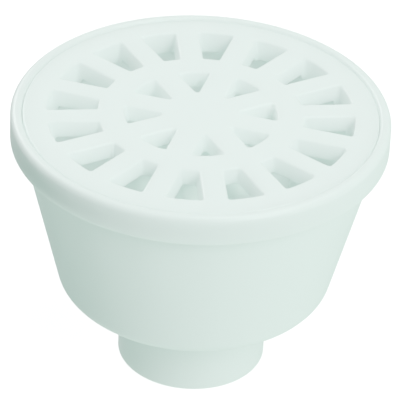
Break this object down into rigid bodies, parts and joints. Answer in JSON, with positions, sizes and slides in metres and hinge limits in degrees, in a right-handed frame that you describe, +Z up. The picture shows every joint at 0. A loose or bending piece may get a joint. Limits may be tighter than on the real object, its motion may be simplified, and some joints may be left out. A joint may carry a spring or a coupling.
{
  "type": "siphoned floor drain",
  "caption": "Round siphoned floor drain: collar with a flush slotted grille, cup that narrows to an outlet spigot, and a bell over a standpipe inside that holds a water seal.",
  "frame": {"origin": "centre of the outlet spigot's lower end", "axes": "+Z up along the drain's axis, from the outlet to the grille; a spoke of the grille's outer ring lies along +X"},
  "size_m": [0.1, 0.1, 0.0765],
  "materials": {
    "body_pvc": "satin injection-moulded white PVC",
    "grille_pvc": "satin injection-moulded white PVC",
    "bell_pvc": "satin injection-moulded white PVC"
  },
  "bodies": {
    "root": {"drain_body": "body_pvc", "grille": "grille_pvc", "siphon_bell": "bell_pvc"}
  },
  "joints": []
}
